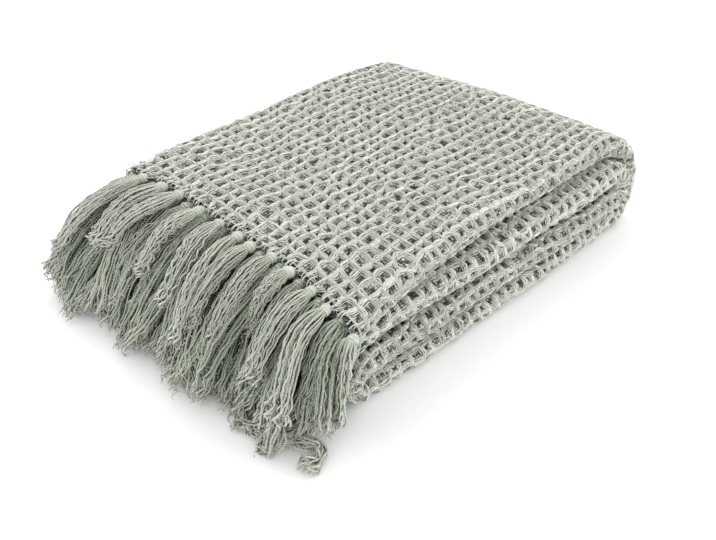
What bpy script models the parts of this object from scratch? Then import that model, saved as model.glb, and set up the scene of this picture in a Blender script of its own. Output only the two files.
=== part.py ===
"""A waffle weave cotton throw, folded into a packet, with a knotted fringe along both of its ends.

The cloth is folded in half twice across its width, which gives a strip of four sheets, and that strip is
folded in half twice along its length. It is one ribbon-shaped section, swept along one folded route.
+X runs from the fringed end to the rounded end, -Y is the side with the wide folds, and Z is up.
"""

import math
from collections import namedtuple

import bmesh
import bpy
from mathutils import Vector

# The cloth.
SHEET_THICKNESS = 0.0044
SHEET_PITCH = 0.0070
OUTER_FOLD_RADIUS = 1.5 * SHEET_PITCH
INNER_FOLD_RADIUS = 0.5 * SHEET_PITCH
OUTER_FOLD_STEPS = 5
INNER_FOLD_STEPS = 3
SELVEDGE_SETBACK = 0.0035

# The route of the strip, seen from the side. Each row is one place along a run, with the height of the
# strip's middle and where its front and back folds reach.
ROUTE_COLUMNS = ("x", "z", "front", "back")
TOP_RUN = (
    (0.000, 0.0978, -0.002, 0.334),
    (0.028, 0.1018, 0.000, 0.332),
    (0.080, 0.1026, 0.003, 0.328),
    (0.160, 0.1016, 0.007, 0.327),
    (0.240, 0.1018, 0.005, 0.326),
    (0.315, 0.1036, 0.000, 0.323),
    (0.374, 0.1048, -0.005, 0.318),
)
BOTTOM_RUN = (
    (0.404, 0.0127, -0.024, 0.318),
    (0.320, 0.0127, -0.022, 0.322),
    (0.240, 0.0127, -0.019, 0.325),
    (0.160, 0.0127, -0.014, 0.328),
    (0.080, 0.0127, -0.010, 0.330),
    (0.011, 0.0127, -0.005, 0.330),
)
LOWER_MIDDLE_RUN = (
    (0.012, 0.0438, -0.004, 0.332),
    (0.080, 0.0425, -0.008, 0.331),
    (0.160, 0.0421, -0.012, 0.328),
    (0.240, 0.0424, -0.019, 0.326),
    (0.320, 0.0425, -0.026, 0.323),
    (0.391, 0.0425, -0.027, 0.320),
)
UPPER_MIDDLE_RUN = (
    (0.382, 0.0772, -0.022, 0.320),
    (0.315, 0.0750, -0.020, 0.323),
    (0.240, 0.0724, -0.012, 0.326),
    (0.160, 0.0720, -0.009, 0.329),
    (0.080, 0.0726, -0.001, 0.331),
    (0.028, 0.0728, 0.004, 0.334),
    (0.003, 0.0706, 0.004, 0.334),
)
OUTER_LOOP_STEPS = 9
INNER_LOOP_STEPS = 7
LEFT_FOLD_STEPS = 6

# How the packet departs from straight lines. Its far back corner is drawn in, its fringed edge bows
# inwards between two shares of its length, and its corners droop by a share of their height.
PACKET_DEPTH = 0.330
FOLDED_END = 0.376
CORNER_DRAW = 0.028
CORNER_DRAW_POWER = 1.4
CORNER_DRAW_START = 0.200
EDGE_BOW = 0.010
EDGE_BOW_LENGTH = 0.110
EDGE_BOW_FRONT = 0.30
EDGE_BOW_BACK = 0.80
DROOP_COLUMNS = ("x", "y", "reach", "droop")
DROOPS = (
    (0.000, 0.000, 0.090, 0.070),
    (0.430, 0.330, 0.190, 0.085),
)

# The fringe: a thin spine along the edge of the sheets, and a tassel at each knot. Rows of tassels are
# counted up from the lowest sheet of the lower end.
SPINE_GAP = 0.0003
SPINE_DEPTH = 0.0030
SPINE_HEIGHT = 0.0030
KNOT_WIDTH = 0.0085
KNOTS_PER_SHEET = 12
FIRST_KNOT = 0.062
LAST_KNOT = 0.956
KNOT_STAGGER = 0.006
SHEETS_PER_STRIP = 4
FLOOR_CLEARANCE = 0.0006
TASSEL_SWAY = 0.0018
TASSEL_REACH_CHANGE = 0.02
# The tassels' unevenness runs in waves. These are the waves' angles from one knot, row or sheet to the next.
STAGGER_TURN = 2.0
SWAY_TURN_BY_KNOT = 2.4
SWAY_TURN_BY_ROW = 1.3
REACH_TURN_BY_KNOT = 1.7
REACH_TURN_BY_ROW = 2.2
# Tassels at the back reach further out, and those at the very front curl back towards the cloth. Their
# lean along the edge turns from forwards to backwards at this share of the way to the back.
BACK_REACH = 0.05
FRONT_REACH = -0.22
FRONT_REACH_POWER = 6
LEAN_TURN = 0.58
ALONG_STEP = 0.02

# How a tassel hangs, for the lowest, middle and highest row: two guide points and the tip, each as a
# distance out from the cloth's edge and a height above the floor, and how far it leans along the edge.
HANG_COLUMNS = ("row", "out_1", "height_1", "out_2", "height_2", "out_3", "height_3", "lean")
HANGS = (
    (0.0, 0.018, 0.0610, 0.0360, 0.0060, 0.0890, 0.0036, 0.030),
    (3.5, 0.026, 0.0860, 0.0640, 0.0300, 0.1160, 0.0085, 0.030),
    (7.0, 0.036, 0.1090, 0.0700, 0.0860, 0.0950, 0.0400, 0.032),
)
# The share of its lean that a tassel has at each guide point.
GUIDE_LEANS = (("1", 0.15), ("2", 0.60), ("3", 1.00))

# The tassel's own shape, from its knot to its tip.
TASSEL_COLUMNS = ("along", "width", "thickness")
TASSEL_SHAPE = (
    (0.06, 0.0110, 0.0052),
    (0.20, 0.0125, 0.0050),
    (0.45, 0.0198, 0.0054),
    (0.78, 0.0208, 0.0052),
    (1.00, 0.0120, 0.0036),
)

SAGE = (0.50, 0.56, 0.47)
PALE_SAGE = (0.56, 0.61, 0.52)

# One place on the strip's section. share runs from the front edge to the back, offset is a distance on from
# there, level is the height in the strip and face is the direction of the ribbon's left side.
SectionPoint = namedtuple("SectionPoint", "share offset level face starts_knot")
# A place on one sheet that the section keeps as a corner, with the side of a knot that it marks.
Mark = namedtuple("Mark", "share offset knot_side")


def rows(columns, table):
    """The table as one dictionary for each row."""
    return [dict(zip(columns, row)) for row in table]


def mix(low, high, share):
    return low + (high - low) * share


def held(value, low=0.0, high=1.0):
    return min(max(value, low), high)


def loop_between(start, end, steps, turn):
    """The places round a fold between two runs. turn is 1 at the rounded end and -1 at the fringed one."""
    radius = (start["z"] - end["z"]) / 2
    places = []
    for step in range(1, steps):
        share = step / steps
        angle = math.pi * share
        place = {name: mix(start[name], end[name], share) for name in ("front", "back")}
        place["x"] = mix(start["x"], end["x"], share) + turn * abs(radius) * math.sin(angle)
        place["z"] = (start["z"] + end["z"]) / 2 + radius * math.cos(angle)
        places.append(place)
    return places


def strip_route():
    """Every place along the strip from its upper fringed end to its lower one, with its upward direction."""
    runs = (TOP_RUN, BOTTOM_RUN, LOWER_MIDDLE_RUN, UPPER_MIDDLE_RUN)
    top, bottom, lower, upper = (rows(ROUTE_COLUMNS, run) for run in runs)
    route = top + loop_between(top[-1], bottom[0], OUTER_LOOP_STEPS, 1)
    route += bottom + loop_between(bottom[-1], lower[0], LEFT_FOLD_STEPS, -1)
    route += lower + loop_between(lower[-1], upper[0], INNER_LOOP_STEPS, 1)
    route += upper
    for index, place in enumerate(route):
        before = route[max(index - 1, 0)]
        after = route[min(index + 1, len(route) - 1)]
        heading = Vector((after["x"] - before["x"], after["z"] - before["z"])).normalized()
        place["normal"] = Vector((-heading.y, heading.x))
    # The first, last and resting places are square to the floor.
    flat = [route[0], route[-1], *bottom]
    for place in flat:
        place["normal"] = Vector((0.0, math.copysign(1.0, place["normal"].y)))
    return route


def straight(level, near, far, to_back, marks):
    """One sheet of the section, between its ends near the front and the back, with marks between them."""
    face = Vector((0.0, 1.0 if to_back else -1.0))
    points = [SectionPoint(0.0, near, level, face, False)]
    # Walked the other way, a knot starts at its other side.
    first_side = "front" if to_back else "back"
    for mark in marks:
        points.append(SectionPoint(mark.share, mark.offset, level, face, mark.knot_side == first_side))
    points.append(SectionPoint(1.0, -far, level, face, False))
    return points if to_back else points[::-1]


def fold(share, offset, level, radius, steps, bulge, rising):
    """One fold of the section about a centre. bulge is -1 towards the front and 1 towards the back."""
    points = []
    for step in range(1, steps):
        angle = math.pi * step / steps
        upward = -math.cos(angle) if rising else math.cos(angle)
        outward = Vector((bulge * math.sin(angle), upward))
        # The left side faces out of a fold that turns right, and into one that turns left.
        turns_right = rising == (bulge < 0)
        face = outward if turns_right else -outward
        place = Vector((offset, level)) + radius * outward
        points.append(SectionPoint(share, place.x, place.y, face, False))
    return points


def section_line(marks_at):
    """The middle line of the four sheets from selvedge to selvedge. marks_at gives each level's marks."""
    half = SHEET_THICKNESS / 2
    front_centre = OUTER_FOLD_RADIUS + half
    back_centre = INNER_FOLD_RADIUS + half
    outer, inner = OUTER_FOLD_RADIUS, INNER_FOLD_RADIUS
    line = straight(-outer, front_centre, SELVEDGE_SETBACK, False, marks_at(-outer))
    line += fold(0.0, front_centre, 0.0, outer, OUTER_FOLD_STEPS, -1, True)
    line += straight(outer, front_centre, back_centre, True, marks_at(outer))
    line += fold(1.0, -back_centre, SHEET_PITCH, inner, INNER_FOLD_STEPS, 1, False)
    line += straight(inner, front_centre, back_centre, False, marks_at(inner))
    line += fold(0.0, front_centre, 0.0, inner, INNER_FOLD_STEPS, -1, False)
    line += straight(-inner, front_centre, 2 * SELVEDGE_SETBACK, True, marks_at(-inner))
    return line


def placed(place, share, offset, level, out=0.0):
    """The point at a place of the route and a point of the section, moved out past the cloth's edge."""
    y = mix(place["front"], place["back"], share) + offset
    across = held((y - place["front"]) / (place["back"] - place["front"]))
    along = place["x"]
    x = along + level * place["normal"].x - out
    z = place["z"] + level * place["normal"].y
    drawn = held((along - CORNER_DRAW_START) / (FOLDED_END - CORNER_DRAW_START))
    x -= CORNER_DRAW * drawn**2 * across**CORNER_DRAW_POWER
    bowed = held(min(across / EDGE_BOW_FRONT, (1.0 - across) / (1.0 - EDGE_BOW_BACK)))
    x += EDGE_BOW * held(1.0 - along / EDGE_BOW_LENGTH) * bowed
    for corner in rows(DROOP_COLUMNS, DROOPS):
        nearness = held(1.0 - abs(x - corner["x"]) / corner["reach"])
        nearness *= held(1.0 - abs(y - corner["y"]) / corner["reach"])
        z *= 1.0 - corner["droop"] * nearness
    return Vector((x, y, z))


def add_object(name, vertices, faces, colour):
    """A closed smooth mesh with its own plain material."""
    mesh = bpy.data.meshes.new(name)
    mesh.from_pydata([tuple(vertex) for vertex in vertices], [], faces)
    solid = bmesh.new()
    solid.from_mesh(mesh)
    bmesh.ops.recalc_face_normals(solid, faces=solid.faces)
    solid.to_mesh(mesh)
    solid.free()
    mesh.shade_smooth()
    material = bpy.data.materials.new(name)
    material.use_nodes = True
    shader = material.node_tree.nodes["Principled BSDF"]
    shader.inputs["Base Color"].default_value = (*colour, 1.0)
    shader.inputs["Roughness"].default_value = 0.95
    shader.inputs["Metallic"].default_value = 0.0
    mesh.materials.append(material)
    thing = bpy.data.objects.new(name, mesh)
    bpy.context.scene.collection.objects.link(thing)
    return thing


def cloth_marks(_level):
    """Where the cloth's edge turns, which is the same on every sheet."""
    return [Mark(EDGE_BOW_FRONT, 0.0, None), Mark(EDGE_BOW_BACK, 0.0, None)]


def make_blanket(route):
    """The whole cloth: a ribbon with the section's line as its middle, swept along the route."""
    line = section_line(cloth_marks)
    half = SHEET_THICKNESS / 2
    left = [(p.share, p.offset + half * p.face.x, p.level + half * p.face.y) for p in line]
    right = [(p.share, p.offset - half * p.face.x, p.level - half * p.face.y) for p in line]
    outline = left + right[::-1]
    count = len(outline)
    vertices = [placed(place, *point) for place in route for point in outline]
    faces = []
    for ring in range(len(route) - 1):
        here, ahead = ring * count, (ring + 1) * count
        for index in range(count):
            after = (index + 1) % count
            faces.append((here + index, here + after, ahead + after, ahead + index))
    last = (len(route) - 1) * count
    for end in (0, last):
        for index in range(len(line) - 1):
            opposite = count - 1 - index
            faces.append((end + index, end + index + 1, end + opposite - 1, end + opposite))
    return add_object("blanket", vertices, faces, SAGE)


def knot_marks(level):
    """The two sides of every knot along one sheet. Each sheet's knots are staggered on its neighbours'."""
    marks = []
    stagger = KNOT_STAGGER * math.sin(STAGGER_TURN * level / SHEET_PITCH)
    for knot in range(KNOTS_PER_SHEET):
        share = mix(FIRST_KNOT, LAST_KNOT, knot / (KNOTS_PER_SHEET - 1)) + stagger
        marks.append(Mark(share, -KNOT_WIDTH / 2, "front"))
        marks.append(Mark(share, KNOT_WIDTH / 2, "back"))
    return marks


def hang_of(row):
    """How this row of tassels hangs, between the rows of HANGS."""
    hangs = rows(HANG_COLUMNS, HANGS)
    low, high = (hangs[0], hangs[1]) if row <= hangs[1]["row"] else (hangs[1], hangs[2])
    share = (row - low["row"]) / (high["row"] - low["row"])
    return {name: mix(low[name], high[name], share) for name in HANG_COLUMNS}


def bezier(points, share):
    rest = 1.0 - share
    weights = (rest**3, 3 * rest**2 * share, 3 * rest * share**2, share**3)
    return sum((weight * point for weight, point in zip(weights, points)), Vector((0.0, 0.0, 0.0)))


def tassel_rings(root, row, knot):
    """The corners of each ring of one tassel, from its knot to its tip."""
    hang = hang_of(row)
    sway = TASSEL_SWAY * math.sin(SWAY_TURN_BY_KNOT * knot + SWAY_TURN_BY_ROW * row)
    across = held(root.y / PACKET_DEPTH)
    lean = hang["lean"] * (across / LEAN_TURN - 1.0) + sway
    reach = 1.0 + TASSEL_REACH_CHANGE * math.sin(REACH_TURN_BY_KNOT * knot + REACH_TURN_BY_ROW * row)
    reach += BACK_REACH * across**2 + FRONT_REACH * (1.0 - across) ** FRONT_REACH_POWER
    guides = [root]
    for guide, leaning in GUIDE_LEANS:
        out = hang["out_" + guide] * reach
        guides.append(Vector((root.x - out, root.y + lean * leaning, hang["height_" + guide])))
    rings = []
    for shape in rows(TASSEL_COLUMNS, TASSEL_SHAPE):
        along = shape["along"]
        centre = bezier(guides, along)
        ahead = bezier(guides, min(along + ALONG_STEP, 1.0)) - bezier(guides, along - ALONG_STEP)
        wide = Vector((0.0, shape["width"] / 2, 0.0))
        thick = Vector((ahead.z, 0.0, -ahead.x)).normalized() * shape["thickness"] / 2
        centre.z += max(FLOOR_CLEARANCE + abs(thick.z) - centre.z, 0.0)
        under, over = centre - thick, centre + thick
        rings.append([under - wide, under + wide, over + wide, over - wide])
    return rings


def grown_tassel(vertices, faces, face_corners, row, knot):
    """Adds one tassel, grown out of the spine's face that has these four corners."""
    lower = sorted(sorted(face_corners, key=lambda c: vertices[c].z)[:2], key=lambda c: vertices[c].y)
    upper = sorted(set(face_corners) - set(lower), key=lambda c: vertices[c].y, reverse=True)
    previous = lower + upper
    root = sum((vertices[corner] for corner in previous), Vector((0.0, 0.0, 0.0))) / 4
    for ring in tassel_rings(root, row, knot):
        current = list(range(len(vertices), len(vertices) + 4))
        vertices.extend(ring)
        for side in range(4):
            after = (side + 1) % 4
            faces.append((previous[side], previous[after], current[after], current[side]))
        previous = current
    faces.append(tuple(previous))


def make_fringe(name, place, lowest_row):
    """A comb along one end of the strip: its spine follows the folded edge of all four sheets."""
    line = section_line(knot_marks)
    half = SPINE_HEIGHT / 2
    near, far = SPINE_GAP, SPINE_GAP + SPINE_DEPTH
    vertices = []
    for point in line:
        for side, out in ((-half, near), (half, near), (half, far), (-half, far)):
            offset = point.offset + side * point.face.x
            level = point.level + side * point.face.y
            vertices.append(placed(place, point.share, offset, level, out))
    faces = [(0, 1, 2, 3)]
    knot = 0
    for index, point in enumerate(line[:-1]):
        here, ahead = 4 * index, 4 * (index + 1)
        for side in range(4):
            after = (side + 1) % 4
            corners = (here + side, here + after, ahead + after, ahead + side)
            if side == 2 and point.starts_knot:
                rank = round(place["normal"].y * point.level / SHEET_PITCH + (SHEETS_PER_STRIP - 1) / 2)
                grown_tassel(vertices, faces, corners, lowest_row + rank, knot)
                knot += 1
            else:
                faces.append(corners)
    last = 4 * (len(line) - 1)
    faces.append((last, last + 1, last + 2, last + 3))
    return add_object(name, vertices, faces, PALE_SAGE)


def stand_on_origin(things):
    """Moves the meshes so that the middle of their underside is at the origin."""
    points = [vertex.co for thing in things for vertex in thing.data.vertices]
    low = [min(point[axis] for point in points) for axis in range(3)]
    high = [max(point[axis] for point in points) for axis in range(3)]
    shift = Vector((-(low[0] + high[0]) / 2, -(low[1] + high[1]) / 2, -low[2]))
    for thing in things:
        for vertex in thing.data.vertices:
            vertex.co += shift


def main():
    for thing in list(bpy.data.objects):
        bpy.data.objects.remove(thing, do_unlink=True)
    route = strip_route()
    blanket = make_blanket(route)
    fringe_top = make_fringe("fringe_top", route[0], SHEETS_PER_STRIP)
    fringe_lower = make_fringe("fringe_lower", route[-1], 0)
    stand_on_origin([blanket, fringe_top, fringe_lower])


main()
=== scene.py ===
"""The looks of a folded cotton throw in a waffle weave, with knotted tassels along both of its cut ends.

The cloth is one sheet on a grid of square cells, folded along the same route as its solids. Each cell is a
pit in the sheet, and the floats round it are yarns of their own, longest and highest along the ridges
between the cells. Places on the cloth are given in cells: s along it from the upper fringe to the lower
one, and t across it from selvedge to selvedge.
"""

import math

import bpy
import numpy as np
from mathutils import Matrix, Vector


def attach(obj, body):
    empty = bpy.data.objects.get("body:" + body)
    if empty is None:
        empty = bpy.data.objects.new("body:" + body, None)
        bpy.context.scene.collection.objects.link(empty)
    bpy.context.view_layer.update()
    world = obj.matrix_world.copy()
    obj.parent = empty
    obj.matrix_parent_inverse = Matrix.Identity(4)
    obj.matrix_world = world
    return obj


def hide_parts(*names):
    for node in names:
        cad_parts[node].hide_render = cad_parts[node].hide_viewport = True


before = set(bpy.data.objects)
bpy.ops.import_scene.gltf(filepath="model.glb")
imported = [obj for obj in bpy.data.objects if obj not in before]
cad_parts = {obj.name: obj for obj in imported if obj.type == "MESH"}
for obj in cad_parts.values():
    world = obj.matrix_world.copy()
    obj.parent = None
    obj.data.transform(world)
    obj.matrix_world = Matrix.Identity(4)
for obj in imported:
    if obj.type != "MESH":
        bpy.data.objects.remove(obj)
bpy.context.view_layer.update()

FULL_TURN = 2.0 * math.pi
ANY_START = 6.3
UPWARD = np.array((0.0, 0.0, 1.0))

# The folded packet, with the same sizes as its solids. A row of a run is one place along it: x, the height
# of the strip's middle, and where its front and back folds reach.
SHEET_THICKNESS = 0.0044
SHEET_PITCH = 0.0070
OUTER_FOLD_RADIUS = 1.5 * SHEET_PITCH
INNER_FOLD_RADIUS = 0.5 * SHEET_PITCH
SELVEDGE_SETBACK = 0.0035
TOP_RUN = (
    (0.000, 0.0978, -0.002, 0.334),
    (0.028, 0.1018, 0.000, 0.332),
    (0.080, 0.1026, 0.003, 0.328),
    (0.160, 0.1016, 0.007, 0.327),
    (0.240, 0.1018, 0.005, 0.326),
    (0.315, 0.1036, 0.000, 0.323),
    (0.374, 0.1048, -0.005, 0.318),
)
BOTTOM_RUN = (
    (0.404, 0.0127, -0.024, 0.318),
    (0.320, 0.0127, -0.022, 0.322),
    (0.240, 0.0127, -0.019, 0.325),
    (0.160, 0.0127, -0.014, 0.328),
    (0.080, 0.0127, -0.010, 0.330),
    (0.011, 0.0127, -0.005, 0.330),
)
LOWER_MIDDLE_RUN = (
    (0.012, 0.0438, -0.004, 0.332),
    (0.080, 0.0425, -0.008, 0.331),
    (0.160, 0.0421, -0.012, 0.328),
    (0.240, 0.0424, -0.019, 0.326),
    (0.320, 0.0425, -0.026, 0.323),
    (0.391, 0.0425, -0.027, 0.320),
)
UPPER_MIDDLE_RUN = (
    (0.382, 0.0772, -0.022, 0.320),
    (0.315, 0.0750, -0.020, 0.323),
    (0.240, 0.0724, -0.012, 0.326),
    (0.160, 0.0720, -0.009, 0.329),
    (0.080, 0.0726, -0.001, 0.331),
    (0.028, 0.0728, 0.004, 0.334),
    (0.003, 0.0706, 0.004, 0.334),
)
PACKET_DEPTH = 0.330
FOLDED_END = 0.376
CORNER_DRAW = 0.028
CORNER_DRAW_POWER = 1.4
CORNER_DRAW_START = 0.200
EDGE_BOW = 0.010
EDGE_BOW_LENGTH = 0.110
EDGE_BOW_FRONT = 0.30
EDGE_BOW_BACK = 0.80
# Corners that droop: x, y, how far it reaches and how much it takes off the height.
DROOPS = ((0.000, 0.000, 0.090, 0.070), (0.430, 0.330, 0.190, 0.085))
# How far the solids were moved from the route to stand on the origin.
ROUTE_TO_FRAME = np.array((-0.163477, -0.161388, 0.0))

# The flat cloth and its cells.
CLOTH_WIDTH = 1.30
CELLS_ACROSS = 94
CELL = CLOTH_WIDTH / CELLS_ACROSS
ROUTE_STEP = 0.001
LOOP_STEPS = 60
SHEET_STEPS = 60
FOLD_STEPS = 24
HEADING_BLUR = 9
SQUARE_END = 0.020

# How uneven the weave is, in cells. A drift is a slow wave: its size, slant, length and start.
CELL_WANDER = 0.13
CELL_WANDER_LENGTHS = (5.0, 14.0)
CELL_JITTER = 0.085
CELL_SWELL = 0.55
EDGE_SWELL = 0.42
EDGE_JITTER = 0.06
DRIFTS = ((0.45, 0.25, 44.0, 0.8), (0.18, -0.3, 18.04, 0.0))
DRIFT_INSET = 10.0
# How much longer the cells are at the fringe, and shorter at the first fold, than on the even grid.
DRAWN_OUT = 0.06
FIRST_FOLD_CELL = 27.0

# Which cells show: along the cloth those of the top sheet, the folded end and the fold by the fringe, and
# across it those of the outer sheet and the folds, with a margin.
TOP_SHEET_CELLS = 28
FOLDED_END_CELLS = 45
FRINGE_FOLD_X = 0.012
FRINGE_FOLD_CELLS = (60, 85)
OUTER_MARGINS = (1.5, 1.0)
FOLD_MARGIN = 1.2
HALF_SHOWN = 1
SHOWN = 2

# The weave's relief, and the painted shade in its pits, less in shallow cells and more near the cloth's
# cut ends. Heights are from the sheet's middle.
CREST_BED = 0.0003
PIT_FLOOR = -0.0031
SHALLOW_FLOOR = -0.0017
SHALLOW_LIGHT = 0.30
PIT_ROUNDNESS = 4.0
PIT_INNER = 0.22
PIT_OUTER = 0.80
PIT_SHADE = 1.5
EDGE_SHADE = 0.80
EDGE_SHADE_CELLS = 0.9
# Where a cell's grid lines lie, for each grade of cell: 0 is hidden, 1 is half hidden and 2 shows.
CELL_LINES = ((0.0,), (0.0, 0.22, 0.5, 0.78), (0.0, 0.12, 0.36, 0.64, 0.88))

# The floats on each side of a ridge, from the crest down. Each rank has its distance from the ridge, its
# pinch at the ends, its share of the cell's length, its height at the middle and at its ends, its painted
# shade for lying low in the weave, its girth and its count of points.
FLOAT_RANKS = (
    (0.00048, 0.80, 1.02, 0.00150, 0.00030, 0.00, 1.05, 6),
    (0.00195, 0.66, 0.94, 0.00110, 0.00000, 0.00, 1.00, 5),
    (0.00320, 0.54, 0.74, 0.00000, -0.0015, 0.06, 0.97, 5),
    (0.00430, 0.52, 0.50, -0.00150, -0.0026, 0.36, 0.92, 4),
)
YARN_RADIUS = 0.00053
YARN_SIDES = 3
FLOAT_TIP = 0.05
FLOAT_ARCH = 0.6
FLOAT_WANDER = 0.020
AWAY_JITTER = 0.16
SIDE_SLIP = 0.018
HEIGHT_JITTER = 0.00020
GIRTH_JITTER = 0.08
MOST_HEIGHT = 0.00175
# Painted shade at the floats' ends, where they dip into the weave.
FLOAT_END_SHADE = 1.2
PROBE = 0.0005

# The fringe, with the same sizes as its solids. Rows of tassels are counted up from the lowest sheet. A knot
# is counted along its row from the front, and in all in the order of the cloth.
TOP_ROW = 7
SPINE_GAP = 0.0003
SPINE_DEPTH = 0.0030
KNOTS_PER_SHEET = 12
SHEETS_PER_STRIP = 4
FIRST_KNOT = 0.062
LAST_KNOT = 0.956
KNOT_STAGGER = 0.006
KNOT_STAGGER_TURN = 2.0
FRONT_INSET = 0.012
# The share of the depth at which each knot of the topmost row sits, and how far out they wander.
TOP_KNOTS = (-0.006, 0.105, 0.173, 0.264, 0.340, 0.418, 0.476, 0.560, 0.648, 0.755, 0.825, 0.905)
KNOT_WANDER = 0.0040
KNOT_WANDER_TURN = 2.6
KNOT_WANDER_START = 0.4
# That row's first knot has slipped down over the front fold, and its tassel hangs down beside the pile.
FRONT_KNOT_SLIP = (0.0035, 0.0080)
FRONT_TASSEL_OUTS = (0.016, 0.020, 0.032)
FRONT_TASSEL_HEIGHTS = (0.0960, 0.0520, 0.0120)
# How a row hangs: how far out and how high its guide points are, and how far its outermost tassels lean.
HANGS = (
    {"row": 0.0, "out": (0.020, 0.0560, 0.0860), "height": (0.0650, 0.0330, 0.0030), "lean": 0.030},
    {"row": 3.5, "out": (0.030, 0.0860, 0.1120), "height": (0.0900, 0.0640, 0.0050), "lean": 0.030},
    {"row": 7.0, "out": (0.034, 0.0720, 0.0960), "height": (0.1070, 0.0800, 0.0280), "lean": 0.032},
)
GUIDE_LEANS = (0.15, 0.60, 1.00)
BACK_REACH = 0.05
FRONT_REACH = -0.60
FRONT_REACH_POWER = 6
MOST_FRONT_LEAN = -0.45
LEAN_TURN = 0.58
LEAN_SPREAD = 0.019
REACH_SPREAD = 0.08
ROW_LEANS = (0.0, 0.004, 0.0, -0.007, 0.003, -0.006, 0.009, 0.0)
# The tassels at both ends of a row keep to the packet's outline.
ROW_END = 0.1
END_FREEDOM = 0.25
# Fixed ripples from knot to knot: their size, the count that they follow, and their turn by count and row.
SWAY = (0.0018, "index", 2.4, 1.3)
REACH_SWAY = (0.02, "index", 1.7, 2.2)
CUT_SWAY = (0.05, "number", 2.3, 1.1)
# The topmost row's tassels lie over the rest: how far out, how far aside and how high each one's tip is.
TOP_TIPS = (
    (0.029, -0.003, 0.012),
    (0.082, -0.016, 0.040),
    (0.079, -0.004, 0.056),
    (0.050, 0.004, 0.060),
    (0.079, -0.004, 0.053),
    (0.081, -0.002, 0.052),
    (0.096, -0.014, 0.043),
    (0.081, -0.008, 0.053),
    (0.074, 0.014, 0.063),
    (0.078, 0.026, 0.071),
    (0.080, 0.020, 0.068),
    (0.101, 0.028, 0.052),
)
TOP_OUTS = (0.38, 0.82, 1.0)
TOP_ARCH = 0.009
TOP_MIDDLE = 0.80

# A tassel's width and thickness along it, and how many strands a tassel of each row has, how many points
# each strand has, and how thick it is.
TASSEL_ALONG = (0.00, 0.06, 0.10, 0.15, 0.22, 0.34, 0.52, 0.80, 1.05)
TASSEL_WIDTH = (0.0064, 0.0080, 0.0080, 0.0126, 0.0158, 0.0168, 0.0160, 0.0136, 0.0104)
TASSEL_THICK = (0.0064, 0.0078, 0.0078, 0.0108, 0.0128, 0.0132, 0.0122, 0.0104, 0.0082)
STRANDS_BY_ROW = (
    (14, 14, 0.00118),
    (14, 14, 0.00118),
    (14, 14, 0.00118),
    (16, 15, 0.00115),
    (18, 15, 0.00112),
    (20, 17, 0.00114),
    (25, 25, 0.00108),
    (32, 34, 0.00098),
)
TOP_LOOSENESS = 0.60
UNDER_LOOSENESS = 0.85
UNDER_SIZE = 1.12
TASSEL_SIZES = (0.88, 1.14)

# How the strands lie in a tassel. A span is where along it something sets in, and over how much of it.
STRAND_RADIUS = 0.00100
STRAND_GIRTHS = (0.85, 1.15)
TIP_SWELL = 0.22
TIP_SWELL_SPAN = (0.70, 0.22)
STRAND_START = 0.03
STRAND_LENGTHS = (0.93, 1.0)
LONG_STRAND = 0.03
LONG_STRANDS_IN = 8
TIP_CROWDING = 1.2
GOLDEN_TURN = 2.39996
INNER_STRAND = 0.62
SIDEWAYS = np.array((0.0, 0.3, 0.0))
TASSEL_TWIST = 1.2
STRAND_TWIST = 0.3
STRAND_SPREAD = 0.15
LOOSE_SPAN = (0.10, 0.40)
FRAYED_SPAN = (0.74, 0.30)
# The whole tassel bends and swings a little.
BEND = 0.0024
BEND_TURNS = (5.0, 8.0)
SWING = 0.0045
SWING_SPAN = (0.45, 0.55)
# The strands part into a few locks that curl each their own way.
LOCK_COUNTS = (3, 5)
LOCK_ASIDE = 0.0030
LOCK_LIFT = 0.0020
LOCK_HOOK = 0.0045
LOCK_HOOK_SPAN = (0.72, 0.33)
LOCK_TURNS = (5.0, 11.0)
LOCK_WAVE = (0.0012, 0.0010)
LOCK_WAVE_GROWTH = (0.4, 2.0)
# Each strand ripples, crimps and curls by itself, and a few go astray.
RIPPLE = 0.0004
RIPPLE_GROWTH = (0.0012, 0.0010)
RIPPLE_TURNS = (20.0, 36.0)
CRIMPS = (0.0002, 0.0012)
CRIMP_SPAN = (0.12, 0.3)
CRIMP_TURNS = (36.0, 62.0)
CURLS = (0.0010, 0.0050)
CURL_SPAN = (0.76, 0.22)
CURL_TURNS = (28.0, 60.0)
ASTRAY_SHARE = 0.08
ASTRAY_ASIDE = 0.0085
ASTRAY_LIFT = 0.0030
ASTRAY_TURN = 3.2
# A close core fills each tassel between its strands, coloured in painted shade for the shade between them.
CORE_SHARE = 0.50
CORE_TAPER = 0.9
CORE_LENGTH = 0.7
CORE_SIDES = 7
CORE_SHADE = 0.90

# Painted shade on the fringe's strands, standing for the shade inside the fringe: a little on each strand,
# more inside a tassel, on its underside and in the lower rows, more towards the front of a row and in the
# lower rows at its back, and painted light that lightens the tips and the back of a row.
STRAND_SHADE = 0.06
INNER_SHADE = 0.10
UNDERSIDE_SHADE = 0.08
UNDER_SHADE = 0.27
ROW_SHADE = 0.06
TIP_LIGHT = 0.4
TIP_LIGHT_SPAN = (0.60, 0.35)
TIP_LIGHTEN = 0.14
TIP_LIGHTEN_SPAN = (0.75, 0.25)
BACK_SHADE = 0.45
BACK_LIGHTEN = 0.14
FRONT_DIM = 0.15
BACK_NUMBERS = (5.0, 4.0)

# Short curled threads at the tassels' tips.
FRAYS_PER_TASSEL = 9
FRONT_FRAYS = 18
FRONT_NUMBERS = 6
UPPER_ROWS = 4
FRAY_POINTS = 9
FRAY_RADIUS = 0.00050
FRAY_STARTS = (0.70, 0.96)
FRAY_SCATTER = 0.0024
FRAY_SPREAD = 0.60
FRAY_LENGTHS = (0.006, 0.012)
FRAY_CURLS = (0.0014, 0.0036)
FRAY_TURNS = (4.0, 11.0)
FRAY_ARC = (0.05, 0.95)
FRAY_SAG = 0.010
# The frays' painted shade, and the share of their row's painted shade that they take.
FRAY_BASE_SHADE = 0.04
FRAY_SHADE = 0.55

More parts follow.
